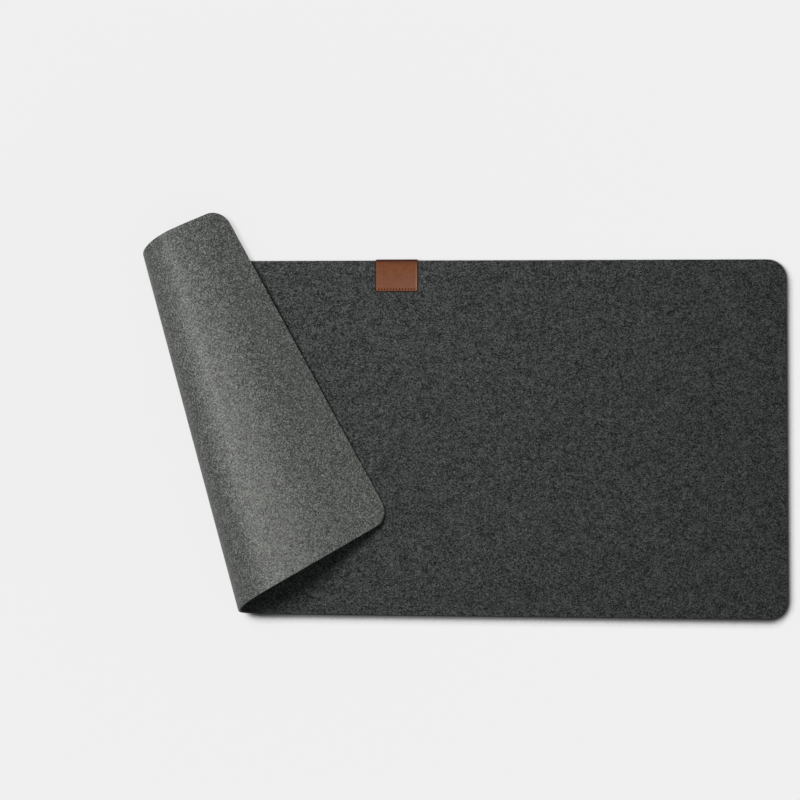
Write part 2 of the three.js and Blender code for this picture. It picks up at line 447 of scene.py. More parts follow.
def end_x(y):
    """x of the sheet's right end, less the rounding of its edge."""
    return HALF_LENGTH - CORNER_RADIUS + (CORNER_RADIUS - EDGE_ROUND) * corner_reach(y)[1]


def between(first, last, steps):
    """Columns from first to last, which are one x for each row, without the first column."""
    shares = np.linspace(0, 1, steps + 1)[1:]
    return [first + (last - first) * share for share in shares]


def stretch_columns(bend):
    """The x of every grid point of one stretch, a list of columns from right to left."""
    middles = strip_lines(rows)[1]
    whole = np.ones_like(rows)
    if bend == 1:
        walls = [pocket_x[0] - gap for gap in beside_pocket] + [pocket_x[1] + gap for gap in beside_pocket]
        straight = np.concatenate((np.arange(END_ZONE, FLAT_LINE, -ROW_STEP), walls, (FLAT_LINE,)))
        straight = np.unique(straight)[::-1]
        columns = [end_x(rows)] + between(end_x(rows), straight[0] * whole, END_COLUMNS)
        columns += [x * whole for x in straight[1:]]
        columns += between(FLAT_LINE * whole, middles[0], LEAD_COLUMNS)
        return np.array(columns + between(middles[0], middles[1], FIRST_COLUMNS))
    columns = [middles[bend - 1]]
    if bend < BENDS:
        return np.array(columns + between(middles[bend - 1], middles[bend], CURL_COLUMNS))
    columns += between(middles[bend - 1], middles[bend], LAST_COLUMNS)
    columns += between(middles[bend], -END_ZONE * whole, FLAP_COLUMNS)
    return np.array(columns + between(-END_ZONE * whole, -end_x(rows), END_COLUMNS))


print(len(rows), "rows;", [len(stretch_columns(bend)) for bend in range(1, BENDS + 1)], "columns")

# %% [markdown]
# ## Cut edges
#
# Felt is cut with a knife, and the fibres along the cut spring out a little, so the edge is soft and
# wavers. A Bevel modifier would round it too evenly, so a small profile is carried round the outline,
# with its points moved in and out by a slow noise. It is rounder outside than at the bond.

# %% Rings of points round a cut edge
BOND_ROUND = 0.25 * MM
PROFILE_TURNS = np.radians((0, 30, 60, 90))
EDGE_WANDER = 0.12 * MM
EDGE_WANDER_LENGTH = 5 * MM
SLOPE_STEP = 0.1 * MM


def edge_profile(low, high, soft_high):
    """Round the cut edge, from the high face to the low one: reach out, height and turn of each step."""
    high_round, low_round = (EDGE_ROUND, BOND_ROUND) if soft_high else (BOND_ROUND, EDGE_ROUND)
    profile = [(EDGE_ROUND - high_round + high_round * math.sin(turn),
                high - high_round * (1 - math.cos(turn)), turn) for turn in PROFILE_TURNS]
    profile += [(EDGE_ROUND - low_round + low_round * math.sin(turn),
                 low + low_round * (1 - math.cos(turn)), math.pi - turn) for turn in PROFILE_TURNS[::-1]]
    return profile


def outline_runs(bend, count):
    """The grid points along the cut edges, as open runs of (row, column, is an end), anticlockwise."""
    last_row, last_column = len(rows) - 1, count - 1
    near = [(0, column, False) for column in range(last_column, -1, -1)]
    far = [(last_row, column, False) for column in range(count)]
    if bend == 1:
        return [near + [(row, 0, True) for row in range(1, last_row)] + far]
    if bend == BENDS:
        return [far + [(row, last_column, True) for row in range(last_row - 1, 0, -1)] + near]
    return [near, far]


def edge_rings(points, out_x, out_y, low, high, soft_high):
    """For each inner step of the profile, the flat places and the normals of a ring of points.
    The points are on the low face, and out_x and out_y say which way is out of the sheet."""
    x, y, low_height = points.T
    for reach, height, turn in edge_profile(low, high, soft_high)[1:-1]:
        wander = [noise.noise(Vector((px, py, height)) / EDGE_WANDER_LENGTH) for px, py in zip(x, y)]
        reach = reach + np.array(wander) * EDGE_WANDER * math.sin(turn)
        ring_height = low_height + (height - low) / (high - low) * (high - low_height)
        ring_x, ring_y = x + out_x * reach, y + out_y * reach
        here, up = lay(ring_x, ring_y, ring_height)
        inward = lay(ring_x - out_x * SLOPE_STEP, ring_y - out_y * SLOPE_STEP, ring_height)[0]
        outward = (here - inward) / np.linalg.norm(here - inward, axis=1, keepdims=True)
        yield (np.stack((ring_x, ring_y, ring_height), 1),
               outward * math.sin(turn) + up * math.cos(turn))


print("edges rounded by", [round(size / MM, 2) for size in (EDGE_ROUND, BOND_ROUND)], "mm, outside and bond")

# %% [markdown]
# ## Painted light and shade on the felt
#
# Over the crown of the curl the grey face gets a painted highlight: it is painted paler, and its fibres
# stand out less. The flap's near end gets a little painted light too. Beside the tag both felts get a
# painted shadow. Such places could be painted by hand in Vertex Paint. Two formulas do the same, and
# their values are kept as point attributes for the felts' materials to read.

# %% Where the felt gets painted highlight and painted shadow
# painted highlight over the crown, painted light on the rest of the curl and on the flap's near end
CROWN_START, CROWN_TOP, CROWN_END = 7.5, 10.1, 10.8     # counted in bend lines from the flat part
CROWN_TILT, CROWN_FADE = 0.2, 0.45                      # it weakens from the near edge to the far one
CURL_SHARE = 0.2                                        # its share on the rest of the curl
FLAP_SHARE = 0.55                                       # and on the flap, at the near edge


def ease(share):
    """A smooth step from 0 to 1."""
    return share ** 2 * (3 - 2 * share)


def painted_highlight_share(x, y):
    """How much painted highlight the felt gets over the crown of the curl, and painted light on the flap's
    near end, from 0 to 1.
    """
    lines = strip_lines(y)[0]
    before = np.clip(np.sum(x < lines, axis=0) - 1, 0, BENDS)
    here = np.arange(len(x))
    place = before + (lines[before, here] - x) / (lines[before, here] - lines[before + 1, here])
    rise = np.clip((place - CROWN_START) / (CROWN_TOP - CROWN_START), 0, 1)
    fall = np.clip((place - CROWN_TOP) / (CROWN_END - CROWN_TOP), 0, 1)
    lift = np.clip(place - 1, 0, 1) * CURL_SHARE + (1 - CURL_SHARE) * ease(rise)
    towards_far = y / HALF_DEPTH
    fade = 1 - CROWN_TILT * towards_far - CROWN_FADE * np.clip(towards_far, 0, 1) ** 2
    flap = FLAP_SHARE * np.clip(-towards_far, 0, 1)
    return lift * fade * (1 - ease(fall)) + flap * ease(fall)


def painted_tag_shadow_share(x, y):
    """How much painted shadow the felt gets beside the sewn tag, from 0 to 1."""
    outside = np.max((pocket_x[0] - x, x - pocket_x[1], pocket_y - y), axis=0)
    return np.clip(1 - outside / TAG_SHADOW_WIDTH, 0, 1)


felt_marks = {"painted_highlight": painted_highlight_share, "painted_tag_shadow": painted_tag_shadow_share}
print("felt marks:", ", ".join(felt_marks))

# %% [markdown]
# ## One stretch as a closed mesh
#
# A stretch has an upper and a lower grid, rings of points round its cut edges, and flat faces where it
# was cut from its neighbours. Every point keeps its place on the flat sheet as an attribute, and the
# fibres are drawn by it, so they run on from stretch to stretch. Smooth shading alone would show each
# cut as a line, so the normals are set from the curve as well.

# %% Faces and normals of a stretch
def grid_faces(count):
    """Faces of the upper and the lower grid of a stretch, which has count columns."""
    size = len(rows) * count
    faces = []
    for row in range(len(rows) - 1):
        for column in range(count - 1):
            a, b = row * count + column, (row + 1) * count + column
            faces.append((a + 1, a, b, b + 1))
            faces.append((size + b + 1, size + b, size + a, size + a + 1))
    return faces


def cut_faces(bend, count, edge_ends):
    """Faces that close a stretch at its cuts. edge_ends holds the points down each end of its edges."""
    size = len(rows) * count
    faces = []
    for column, left in ((0, False), (count - 1, True)):
        if bend == (BENDS if left else 1):
            continue
        for row in range(len(rows) - 1):
            a, b = row * count + column, (row + 1) * count + column
            cap = (a, b, size + b, size + a)
            faces.append(cap if left else cap[::-1])
        for end in edge_ends:
            if end[0] % count == column:
                on_far_edge = end[0] // count > 0
                faces.append(end if on_far_edge == left else end[::-1])
    return faces


def set_normals(mesh, point_normals, smooth_count):
    """Gives the first smooth_count faces the normals of their points, and leaves the others flat."""
    corner_points = np.empty(len(mesh.loops), np.int32)
    mesh.loops.foreach_get("vertex_index", corner_points)
    corner_normals = point_normals[corner_points]
    for face in mesh.polygons[smooth_count:]:
        corner_normals[list(face.loop_indices)] = face.normal
    mesh.polygons.foreach_set("use_smooth", [True] * len(mesh.polygons))
    mesh.normals_split_custom_set(corner_normals.tolist())


print("ready to make", 2 * BENDS, "stretches")

# %% Make the stretches of both felts
BOND_HEIGHT = THICKNESS / 2
POCKET_HEIGHT = tag_low.z + 1.05 * MM     # just above the tag's back leaf
TOUCH = 0.001 * MM


def make_stretch(name, bend, low, high, soft_high, pocket=None):
    """One stretch of a felt sheet between two heights. The pocket is the low face's height at the tag."""
    columns = stretch_columns(bend)
    count = len(columns)
    x = columns.T.ravel()
    y = np.repeat(rows, count)
    low_height = np.full_like(x, low)
    if pocket and bend == 1:
        inside = (x > pocket_x[0] - TOUCH) & (x < pocket_x[1] + TOUCH) & (y > pocket_y - TOUCH)
        low_height[inside] = pocket
    low_points = np.stack((x, y, low_height), 1)
    up = lay(*low_points.T)[1]
    flat_places = [np.stack((x, y, np.full_like(x, high)), 1), low_points]
    point_normals = [up, -up]

    faces = grid_faces(count)
    edge_ends = []
    point_count = 2 * len(x)
    for run in outline_runs(bend, count):
        index = np.array([row * count + column for row, column, _ in run])
        at_end = np.array([is_end for _, _, is_end in run])
        sine, cosine = corner_reach(y[index])
        out_x = np.where(at_end, cosine if bend == 1 else -cosine, 0)
        out_y = np.sign(y[index]) * np.where(at_end, sine, 1)
        rings = [index]
        for ring_places, ring_normals in edge_rings(low_points[index], out_x, out_y, low, high, soft_high):
            flat_places.append(ring_places)
            point_normals.append(ring_normals)
            rings.append(np.arange(point_count, point_count + len(index)))
            point_count += len(index)
        rings.append(index + len(x))
        for upper, lower in zip(rings, rings[1:]):
            faces += zip(upper, lower, lower[1:], upper[1:])
        edge_ends += [tuple(ring[end] for ring in rings) for end in (0, -1)]
    smooth_count = len(faces)
    faces += cut_faces(bend, count, edge_ends)

    flat_places = np.concatenate(flat_places)
    mesh = bpy.data.meshes.new(name)
    mesh.from_pydata(lay(*flat_places.T)[0].tolist(), [], [[int(point) for point in face] for face in faces])
    flat_attribute = mesh.attributes.new("flat_place", "FLOAT_VECTOR", "POINT")
    flat_attribute.data.foreach_set("vector", flat_places.ravel())
    for mark, share in felt_marks.items():
        attribute = mesh.attributes.new(mark, "FLOAT", "POINT")
        attribute.data.foreach_set("value", share(*flat_places.T[:2]))
    set_normals(mesh, np.concatenate(point_normals), smooth_count)
    return put_in_scene(name, mesh)


sheets = {"charcoal": [], "grey": []}
for bend in range(1, BENDS + 1):
    part = "main" if bend == 1 else "flap" if bend == BENDS else f"curl_{bend}"
    upper = make_stretch(f"charcoal_felt_{part}", bend, BOND_HEIGHT, THICKNESS, soft_high=True)
    lower = make_stretch(f"grey_felt_{part}", bend, 0.0, BOND_HEIGHT, soft_high=False, pocket=POCKET_HEIGHT)
    sheets["charcoal"].append(upper)
    sheets["grey"].append(lower)
print("felt:", sum(len(piece.data.polygons) for layer in sheets.values() for piece in layer), "faces")

# %% [markdown]
# ## Wool fibres
#
# Pressed felt is a mat of short wool fibres of several shades, lying in every direction. Seen close it
# is a tangle of fine pale lines; seen from a step away it is a soft speckle. Hair particles would be
# far too heavy, so the fibres are drawn: noise stretched along four directions gives the lines, and a
# finer and a coarser noise the speckle and faint clouds between them. Both felts have them, so this is
# one node group. Its sizes are in metres on the flat sheet.

# %% Node group for wool fibres
FIBRE_SIZE = (4.4 * MM, 0.75 * MM, 0.75 * MM)
FIBRE_DIRECTIONS = (12, 57, 103, 148)
SPECKLE_SIZE = (1.6 * MM,) * 3
CLOUD_SIZE = (9.0 * MM,) * 3
CLOUD_TURN = 30
CLOUD_DEPTH = 0.044
STRAND_SHARE, SPECKLE_SHARE = 0.55, 0.45
FLECK_MIDDLE = 0.45          # the fleck that contrast leaves as it is

fibres = bpy.data.node_groups.new("wool_fibres", "ShaderNodeTree")
for name, direction, kind in (("Place", "INPUT", "Vector"), ("Contrast", "INPUT", "Float"),
                              ("Fleck", "OUTPUT", "Float"), ("Height", "OUTPUT", "Float")):
    fibres.interface.new_socket(name, in_out=direction, socket_type="NodeSocket" + kind)
flat_place, contrast_in = add_node(fibres, "NodeGroupInput").outputs[:2]


def stretched_noise(tree, vector, size, turn_degrees, detail=2.0, distortion=0.4):
    """Noise whose features are size long along each axis, turned about the sheet's normal."""
    mapping = add_node(tree, "ShaderNodeMapping", vector_type="TEXTURE", Vector=vector, Scale=size,
                       Rotation=(0, 0, math.radians(turn_degrees)))
    texture = add_node(tree, "ShaderNodeTexNoise", Scale=1.0, Detail=detail, Roughness=0.55,
                       Distortion=distortion, Vector=mapping.outputs["Vector"])
    return texture.outputs[0]


strands = stretched_noise(fibres, flat_place, FIBRE_SIZE, FIBRE_DIRECTIONS[0])
for direction in FIBRE_DIRECTIONS[1:]:
    more = stretched_noise(fibres, flat_place, FIBRE_SIZE, direction)
    strands = add_math(fibres, "MAXIMUM", strands, more)
speckle = stretched_noise(fibres, flat_place, SPECKLE_SIZE, 0, detail=3.0, distortion=0.8)
cloud = stretched_noise(fibres, flat_place, CLOUD_SIZE, CLOUD_TURN, distortion=0.3)
strand_part = add_math(fibres, "MULTIPLY", add_range(fibres, strands, 0.52, 0.82), STRAND_SHARE)
speckle_part = add_math(fibres, "MULTIPLY", add_range(fibres, speckle, 0.30, 0.72), SPECKLE_SHARE)
mixed = add_math(fibres, "ADD", strand_part, speckle_part)
clouded = add_math(fibres, "ADD", mixed, add_range(fibres, cloud, 0.3, 0.7, -CLOUD_DEPTH, CLOUD_DEPTH))
centred = add_math(fibres, "SUBTRACT", clouded, FLECK_MIDDLE)
spread_out = add_math(fibres, "MULTIPLY", centred, contrast_in)
fleck = add_math(fibres, "ADD", spread_out, FLECK_MIDDLE, clamp=True)
add_node(fibres, "NodeGroupOutput", Fleck=fleck, Height=mixed)
print("wool fibres in", len(FIBRE_DIRECTIONS), "directions")

# %% [markdown]
# ## Two felts
#
# The charcoal felt is matte, and its fibres are a little finer across the pad. The grey one is coarser
# and has a soft gloss. An image could give either look, but nodes stay sharp from close by, so both take
# the wool group with their own colours. Where the grey face has its painted highlight it gets paler and
# its contrast fades. Beside the tag both felts get a painted shadow, dark and tinted brown.

# %% Two felts from the same fibres
# strength and colour of the painted shadow beside the tag, dark and tinted brown
TAG_SHADOW_SHARE = 0.95
TAG_SHADOW_COLOUR = (0.032, 0.012, 0.007, 1)
FELT_SHEEN, FELT_SHEEN_ROUGHNESS = 0.03, 0.6
FELT_BUMP, FELT_BUMP_HEIGHT = 0.5, 0.6 * MM


def add_attribute(tree, name, output="Fac"):
    """Adds an Attribute node that reads one of the piece's point attributes. Returns its socket."""
    return add_node(tree, "ShaderNodeAttribute", attribute_name=name).outputs[output]


def felt_material(name, dark, pale, contrast, roughness, gloss, fineness, gain=(0, 0, 0), calm=0.0):
    """Pressed felt: dark wool with pale fibres, a rough face and a soft bloom of loose fibre.
    Gain says how much paler its painted highlight makes it, and calm how much fainter its fibres get there."""
    made, tree = new_material(name)
    painted_highlight = add_attribute(tree, "painted_highlight")
    finer = add_vector_math(tree, "MULTIPLY", add_attribute(tree, "flat_place", "Vector"), fineness)
    calmer = add_math(tree, "SUBTRACT", contrast, add_math(tree, "MULTIPLY", painted_highlight, contrast * calm))
    wool = add_node(tree, "ShaderNodeGroup", node_tree=fibres)
    feed(tree, wool.inputs["Place"], finer.outputs["Vector"])
    feed(tree, wool.inputs["Contrast"], calmer)
    shade = add_mix(tree, wool.outputs["Fleck"], dark, pale)
    # painted highlight: the colour is made paler by the gain where the attribute is high
    painted_highlight_gain = add_vector_math(tree, "MULTIPLY_ADD", painted_highlight, gain, (1, 1, 1))
    shade = add_mix(tree, 1.0, shade, painted_highlight_gain.outputs["Vector"], "MULTIPLY")
    # painted shadow beside the tag: the colour is mixed towards a dark brown
    pressed_or_shadowed = add_math(tree, "MULTIPLY", add_attribute(tree, "painted_tag_shadow"), TAG_SHADOW_SHARE)
    shade = add_mix(tree, pressed_or_shadowed, shade, TAG_SHADOW_COLOUR)
    add_surface(tree, wool.outputs["Height"], FELT_BUMP, FELT_BUMP_HEIGHT, Base_Color=shade,
                Roughness=roughness, Specular_IOR_Level=gloss,
                Sheen_Weight=FELT_SHEEN, Sheen_Roughness=FELT_SHEEN_ROUGHNESS)
    return made


charcoal = felt_material("charcoal_felt", (0.0075, 0.0081, 0.008, 1), (0.174, 0.186, 0.182, 1),
                         contrast=1.53, roughness=0.95, gloss=0.12, fineness=(1.0, 1.25, 1.0))
grey = felt_material("grey_felt", (0.007, 0.007, 0.007, 1), (0.252, 0.2745, 0.2445, 1),
                     contrast=1.88, roughness=0.5, gloss=0.4, fineness=(0.9, 0.9, 0.9),
                     gain=(0.55, 0.49, 0.525), calm=0.37)
for layer, material in (("charcoal", charcoal), ("grey", grey)):
    for piece in sheets[layer]:
        piece.data.materials.append(material)
print("felt materials:", charcoal.name, "and", grey.name)

# %% [markdown]
# ## Turning zones of the stretches
#
# For each stretch a zone is worked out where it would turn about its own hinge, between the body
# before the hinge and the next body after it. An armature with painted weights would do the same;
# here the zone has only a start and an end. It is centred on the hinge and as wide as the cuts on both
# sides allow, also at the narrow far end. The imported solids that the stretches stand for are hidden.


def unit(vector):
    """The vector with a length of 1."""
    return vector / np.linalg.norm(vector)


def bend_zone(bend):
    """Start and end of the zone where a stretch turns, with its hinge in the middle, and its width."""
    across = np.array((-HALF_DEPTH, 0.0, HALF_DEPTH))
    heights = np.repeat((0.0, THICKNESS), len(across))
    before, after = (lay(np.tile(cut, 2), np.tile(across, 2), heights)[0]
                     for cut in strip_lines(across)[1][bend - 1:bend + 1])
    hinge = (near_corner[bend] + far_corner[bend]) / 2
    ray = unit(far_corner[bend] - near_corner[bend])
    legs = [hinge - before[1], after[1] - hinge]
    along = unit(sum(unit(leg - ray * (leg @ ray)) for leg in legs))
    reach = min(((hinge - before) @ along).min(), ((after - hinge) @ along).min())
    return hinge - along * reach, hinge + along * reach, 2 * reach


def carriers(layer, bend):
    """What a stretch lies on or hangs from: the table, the sheet below it, or the stretch before it."""
    if layer == "charcoal":
        below = [sheets["grey"][bend - 1].name]
        return below + ([sheets["charcoal"][0].name] if bend == BENDS else [])
    return ["floor"] if bend == 1 else [sheets["grey"][bend - 2].name]


zones = []
for bend, joint in enumerate(frame["joints"], start=1):
    start, end, zone = bend_zone(bend)
    zones.append(round(zone / MM, 1))
    columns = stretch_columns(bend)
    solids = ["main" if bend == 1 else joint["parent"]] + (["flap"] if bend == BENDS else [])
    for layer, solid in (("charcoal", "top_felt"), ("grey", "base_felt")):
        piece = sheets[layer][bend - 1]
        tuple(start)
        tuple(end)
        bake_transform(piece)
        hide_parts(*[f"{solid}_{part}" for part in solids])
        carriers(layer, bend)
print("turning zones in mm:", zones)

# %% [markdown]
# ## Leather tag
#
# The tag is one strip of leather 1 mm thick, folded over the far edge and sewn down near its ends. A
# curve with a flat profile could be bent that way, but not carry dents. By hand it starts as a flat,
# fine grid for the front leaf. Its far edge is spun half a turn round the felt for the fold, then
# pulled out step by step for the back leaf. A Solidify modifier gives the thickness, and a Bevel takes
# the sharpness off the cut edges.

# %% Fold a strip of leather over the far edge
LEATHER = 1.0 * MM
LEATHER_STEP = 0.5 * MM
FOLD_STEPS = 10
SAME_PLACE = 0.01 * MM

front_middle = tag_high.z - LEATHER / 2
back_middle = tag_low.z + LEATHER / 2
fold_height = (front_middle + back_middle) / 2
fold_y = tag_high.y - LEATHER / 2 - (front_middle - back_middle) / 2
leaf_length = fold_y - tag_low.y
tag_width = tag_high.x - tag_low.x
tag_x = (tag_low.x + tag_high.x) / 2
leaf_rows = round(leaf_length / LEATHER_STEP)


def select_points(piece, chosen):
    """Selects the points of a piece whose place passes the test, and enters edit mode."""
    bpy.ops.object.mode_set(mode="EDIT")
    bpy.ops.mesh.select_mode(type="VERT")
    bpy.ops.mesh.select_all(action="DESELECT")
    bpy.ops.object.mode_set(mode="OBJECT")
    for vertex in piece.data.vertices:
        vertex.select = chosen(vertex.co)
    bpy.ops.object.mode_set(mode="EDIT")


def merge_points(distance, turn_out=True):
    """Joins points of the active piece that lie closer than a distance, and turns its faces outwards."""
    bpy.ops.object.mode_set(mode="EDIT")
    bpy.ops.mesh.select_all(action="SELECT")
    bpy.ops.mesh.remove_doubles(threshold=distance)
    if turn_out:
        bpy.ops.mesh.normals_make_consistent(inside=False)
    bpy.ops.object.mode_set(mode="OBJECT")


bpy.ops.object.select_all(action="DESELECT")
bpy.ops.mesh.primitive_grid_add(x_subdivisions=round(tag_width / LEATHER_STEP),
                                y_subdivisions=leaf_rows, size=1)
tag = bpy.context.active_object
tag.name = "sewn_leather_tag"
bpy.ops.transform.resize(value=(tag_width, leaf_length, 1))
bpy.ops.transform.translate(value=(tag_x, tag_low.y + leaf_length / 2, front_middle))
bpy.ops.object.transform_apply(location=True, rotation=True, scale=True)
select_points(tag, lambda place: abs(place.y - fold_y) < SAME_PLACE)
bpy.ops.mesh.spin(steps=FOLD_STEPS, angle=math.pi, center=(tag_x, fold_y, fold_height), axis=(1, 0, 0))
for step in range(leaf_rows):
    bpy.ops.mesh.extrude_region_move(TRANSFORM_OT_translate={"value": (0, -leaf_length / leaf_rows, 0)})
merge_points(2 * SAME_PLACE)
print("strip of", len(tag.data.polygons), "faces, folded at y =", round(fold_y / MM, 1), "mm")

# %% Round the corners and give the leather its thickness
LEAF_CORNER = 1.8 * MM
LEATHER_EDGE = 0.22 * MM
LEATHER_EDGE_STEPS = 3
SHARP_DEGREES = 50

for vertex in tag.data.vertices:
    side = 1 if vertex.co.x > tag_x else -1
    centre = Vector((tag_x + side * (tag_width / 2 - LEAF_CORNER), tag_low.y + LEAF_CORNER))
    aside = side * (vertex.co.x - centre.x) / LEAF_CORNER
    down = (centre.y - vertex.co.y) / LEAF_CORNER
    if aside > 0 and down > 0:
        vertex.co.x = centre.x + side * LEAF_CORNER * aside * math.sqrt(1 - down ** 2 / 2)
        vertex.co.y = centre.y - LEAF_CORNER * down * math.sqrt(1 - aside ** 2 / 2)

solidify = tag.modifiers.new("thickness", "SOLIDIFY")
solidify.thickness = LEATHER
solidify.offset = 0
edge_bevel = tag.modifiers.new("cut edges", "BEVEL")
edge_bevel.width = LEATHER_EDGE
edge_bevel.segments = LEATHER_EDGE_STEPS
edge_bevel.limit_method = "ANGLE"
edge_bevel.angle_limit = math.radians(SHARP_DEGREES)
for modifier in (solidify.name, edge_bevel.name):
    bpy.ops.object.modifier_apply(modifier=modifier)
tag_bounds = [[round(c / MM, 2) for c in corner] for corner in (tag.bound_box[0], tag.bound_box[6])]
print("tag:", len(tag.data.polygons), "faces, from", *tag_bounds, "mm")

# %% [markdown]
# ## Needle holes
#
# The seam draws the leather down along its row, and most round each hole, a little towards the leaf's
# end. That is what makes the row show. Dents sculpted by hand would all differ, so a bell-shaped
# formula presses the grid's points down, and a Boolean with thirteen needles cuts the holes.

# %% Press dents and cut the needle holes
HOLES = 13
HOLE_RADIUS = 0.42 * MM
HOLE_SIDES = 16
DENT_DEPTH = 0.5 * MM
DENT_HALF_WIDTH = 0.75 * MM
DENT_HALF_HEIGHT = 1.2 * MM
DENT_DRAG = 0.3 * MM
SEAM_DEPTH = 0.12 * MM
SEAM_HALF_HEIGHT = 1.6 * MM
BACK_SHARE = 0.5                # of these depths, on the back leaf
SMOOTH_DEGREES = 35

row_low, row_high = (Vector(corner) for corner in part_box("needle_thread"))
thread_width = row_high.y - row_low.y
hole_y = (row_low.y + row_high.y) / 2
hole_pitch = (row_high.x - row_low.x - thread_width) / (HOLES - 1)
hole_x = [row_low.x + thread_width / 2 + number * hole_pitch for number in range(HOLES)]


def dent_share(x, y):
    """How deep the leather sinks in at each place, 1 at the middle of a dent."""
    nearest = np.min(np.abs(x[:, None] - np.array(hole_x)[None, :]), axis=1)
    return np.exp(-(nearest / DENT_HALF_WIDTH) ** 2 - ((y - hole_y + DENT_DRAG) / DENT_HALF_HEIGHT) ** 2)


def seam_share(y):
    """How far the seam draws the leather in at each place, 1 along its row."""
    return np.exp(-((y - hole_y) / SEAM_HALF_HEIGHT) ** 2)


def point_places(piece):
    """The places of a piece's points, as rows of x, y and z."""
    places = np.empty(3 * len(piece.data.vertices), np.float32)
    piece.data.vertices.foreach_get("co", places)
    return places.reshape(-1, 3).astype(float)


places = point_places(tag)
pressed_or_shadowed = DENT_DEPTH * dent_share(places[:, 0], places[:, 1]) + SEAM_DEPTH * seam_share(places[:, 1])
front_face = places[:, 2] > front_middle + LEATHER / 4
back_face = places[:, 2] < back_middle - LEATHER / 4
places[front_face, 2] -= pressed_or_shadowed[front_face]
places[back_face, 2] += pressed_or_shadowed[back_face] * BACK_SHARE
tag.data.vertices.foreach_set("co", places.astype(np.float32).ravel())
tag.data.update()

bpy.ops.object.select_all(action="DESELECT")
bpy.ops.mesh.primitive_cylinder_add(vertices=HOLE_SIDES, radius=HOLE_RADIUS, depth=4 * THICKNESS,
                                    location=(hole_x[0], hole_y, fold_height))
needles = [bpy.context.active_object]
while len(needles) < HOLES:
    bpy.ops.object.duplicate()
    bpy.ops.transform.translate(value=(hole_pitch, 0, 0))
    needles.append(bpy.context.active_object)
for needle in needles:
    needle.select_set(True)
bpy.context.view_layer.objects.active = needles[0]
bpy.ops.object.join()
bpy.ops.object.transform_apply(location=True, rotation=True, scale=True)
bpy.context.view_layer.objects.active = tag
holes = tag.modifiers.new("needle holes", "BOOLEAN")
holes.operation = "DIFFERENCE"
holes.solver = "EXACT"
holes.object = needles[0]
bpy.ops.object.modifier_apply(modifier=holes.name)
bpy.data.objects.remove(needles[0])
bpy.ops.object.select_all(action="DESELECT")
tag.select_set(True)
merge_points(SAME_PLACE, turn_out=False)
bpy.ops.object.shade_smooth_by_angle(angle=math.radians(SMOOTH_DEGREES))
print("tag:", HOLES, "needle holes,", len(tag.data.polygons), "faces")

# %% [markdown]
# ## Painted shade, painted highlight and marks on the leather
#
# The leather gets painted shade along the fold and in the dents, and a painted highlight along its
# side edges, most at the lower right. It is warm along the seam, and duller and paler towards the
# leaf's end, more at the right. The cut edge itself is dark. A painted image would be tied to one
# resolution, so each mark is a formula, kept as a point attribute.

# %% Painted shade, painted highlight and marks of the seam
# painted shade in the needle dents
DENT_GAIN, DENT_START = 2.8, 0.25             # makes the dark spot nearly as wide as the dent
# painted highlight along the side edges, strongest at the lower right
EDGE_HIGHLIGHT_WIDTH, EDGE_HIGHLIGHT_START, EDGE_HIGHLIGHT_LEAST = 2.0 * MM, 1.3, 0.12
LOW_LEFT, LOW_GAIN = 0.8, 0.6                 # dull at the left, and how much more at the right
# painted shade along the fold: how dark just below it, and how fast it fades down the leaf
CREASE_SHADE, CREASE_FALL = 0.65, 14
FOLD_SHADE, FOLD_START, FOLD_WIDTH = 0.7, 0.9 * MM, 1.5 * MM
CUT_WIDTH, CUT_START, CUT_END_SHARE = 0.3 * MM, 1.5, 0.6


def near_edge(gap, width, start):
    """1 at a cut edge, falling to 0 further in."""
    return np.clip(start - gap / width, 0, 1)


x, y, _ = point_places(tag).T
edge_gap = tag_width / 2 - np.abs(x - tag_x)
end_gap = np.where(y < fold_y, y - tag_low.y, leaf_length)
down_leaf = np.clip((fold_y - y) / leaf_length, 0, 1)
towards_right = np.clip((x - tag_low.x) / tag_width, 0, 1)
round_fold = np.clip((y - (fold_y - FOLD_START)) / FOLD_WIDTH, 0, 1)
edge_highlight_place = EDGE_HIGHLIGHT_LEAST + (1 - EDGE_HIGHLIGHT_LEAST) * down_leaf * towards_right
tag_marks = {
    # painted shade in the needle dents
    "dent": np.clip(DENT_GAIN * dent_share(x, y) - DENT_START, 0, 1),
    # painted highlight along the side edges
    "painted_edge_highlight": near_edge(edge_gap, EDGE_HIGHLIGHT_WIDTH, EDGE_HIGHLIGHT_START) * edge_highlight_place,
    "low": down_leaf * (LOW_LEFT + LOW_GAIN * towards_right),
    "seam": seam_share(y),
    # painted shade along the fold
    "painted_fold_shade": np.clip(CREASE_SHADE * (1 - down_leaf) ** CREASE_FALL + FOLD_SHADE * round_fold, 0, 1),
    "cut": np.maximum(near_edge(edge_gap, CUT_WIDTH, CUT_START),
                      CUT_END_SHARE * near_edge(end_gap, CUT_WIDTH, CUT_START)),
}
for name, values in tag_marks.items():
    attribute = tag.data.attributes.new(name, "FLOAT", "POINT")
    attribute.data.foreach_set("value", values)
print("marks on the leather:", ", ".join(tag_marks))

# %% [markdown]
# ## Stitches
#
# A lockstitch has one thread on each face, and both dip into the same needle holes. The thread is three
# plies twisted together. A cylinder with a twisted bump would pass from afar only, so one stitch is
# drawn as three helices along a low arch, turned into a mesh and copied from hole to hole.

# %% Twisted thread, one stitch copied along the row
PLIES = 3
PLY_RADIUS = 0.15 * MM
PLY_ROUNDNESS = 2
TWIST_RADIUS = 0.15 * MM
TWISTS = 3.5
STITCH_POINTS = 34
STITCH_START, STITCH_SPAN = 0.1, 0.8     # in shares of the way from hole to hole
STITCH_DIP = 1.1 * MM
STITCH_STEEPNESS = 3
THREAD_PROUD = 0.6                       # how far the front row stands above the seam, in thread radii


